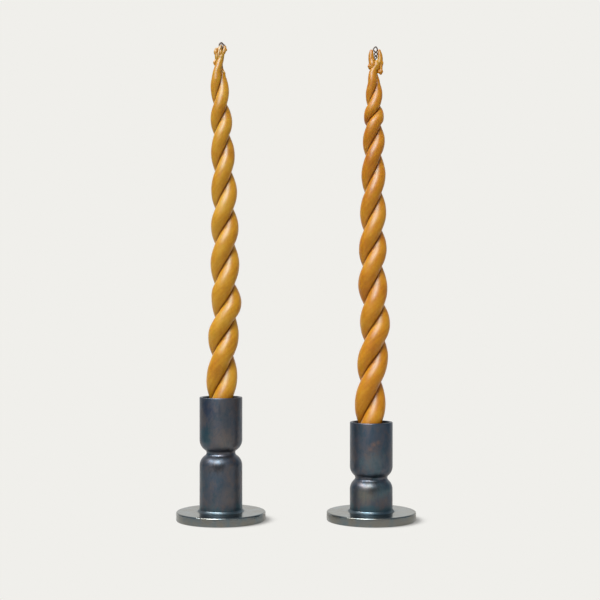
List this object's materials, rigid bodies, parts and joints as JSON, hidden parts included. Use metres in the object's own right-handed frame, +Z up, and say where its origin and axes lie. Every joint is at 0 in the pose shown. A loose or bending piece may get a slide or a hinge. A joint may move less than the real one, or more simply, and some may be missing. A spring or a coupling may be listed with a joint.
{
  "type": "havdalah candle",
  "caption": "Right-hand twisted beeswax havdalah candles, each wound from dipped tapers on one looped wick and standing loose in a blackened steel tube holder with a rolled waist.",
  "frame": {"origin": "on the table, midway between the two holders' axes", "axes": "+Z up along the holders' axes, +X from the tall holder towards the short one, -Y towards the viewer of the picture"},
  "size_m": [0.1772, 0.066, 0.3535],
  "materials": {
    "blackened_plate": "blackened steel plate, satin, lightly waxed",
    "blackened_tube": "blued steel tube, satin, with brown and blue mottling",
    "weld": "smoothed weld bead, blued with the tube",
    "beeswax_tall": "beeswax, satin, hand-dipped",
    "beeswax_short": "beeswax, satin, hand-dipped",
    "wick": "waxed braided cotton"
  },
  "bodies": {
    "tall_holder": {"tall_base_plate": "blackened_plate", "tall_socket_tube": "blackened_tube", "tall_foot_weld": "weld"},
    "tall_candle": {"tall_candle_strand_a": "beeswax_tall", "tall_candle_strand_b": "beeswax_tall", "tall_candle_wick": "wick"},
    "short_holder": {"short_base_plate": "blackened_plate", "short_socket_tube": "blackened_tube", "short_foot_weld": "weld"},
    "short_candle": {"short_candle_strand_a": "beeswax_short", "short_candle_strand_b": "beeswax_short", "short_candle_wick": "wick"}
  },
  "joints": [
    {"name": "tall_candle_lift", "type": "slide", "parent": "tall_holder", "child": "tall_candle", "axis": [0, 0, 1], "range_m": [0, 0.05]},
    {"name": "short_holder_move", "type": "slide", "parent": "tall_holder", "child": "short_holder", "axis": [1, 0, 0], "range_m": [-0.035, 0.15]},
    {"name": "short_candle_lift", "type": "slide", "parent": "short_holder", "child": "short_candle", "axis": [0, 0, 1], "range_m": [0, 0.05]}
  ]
}
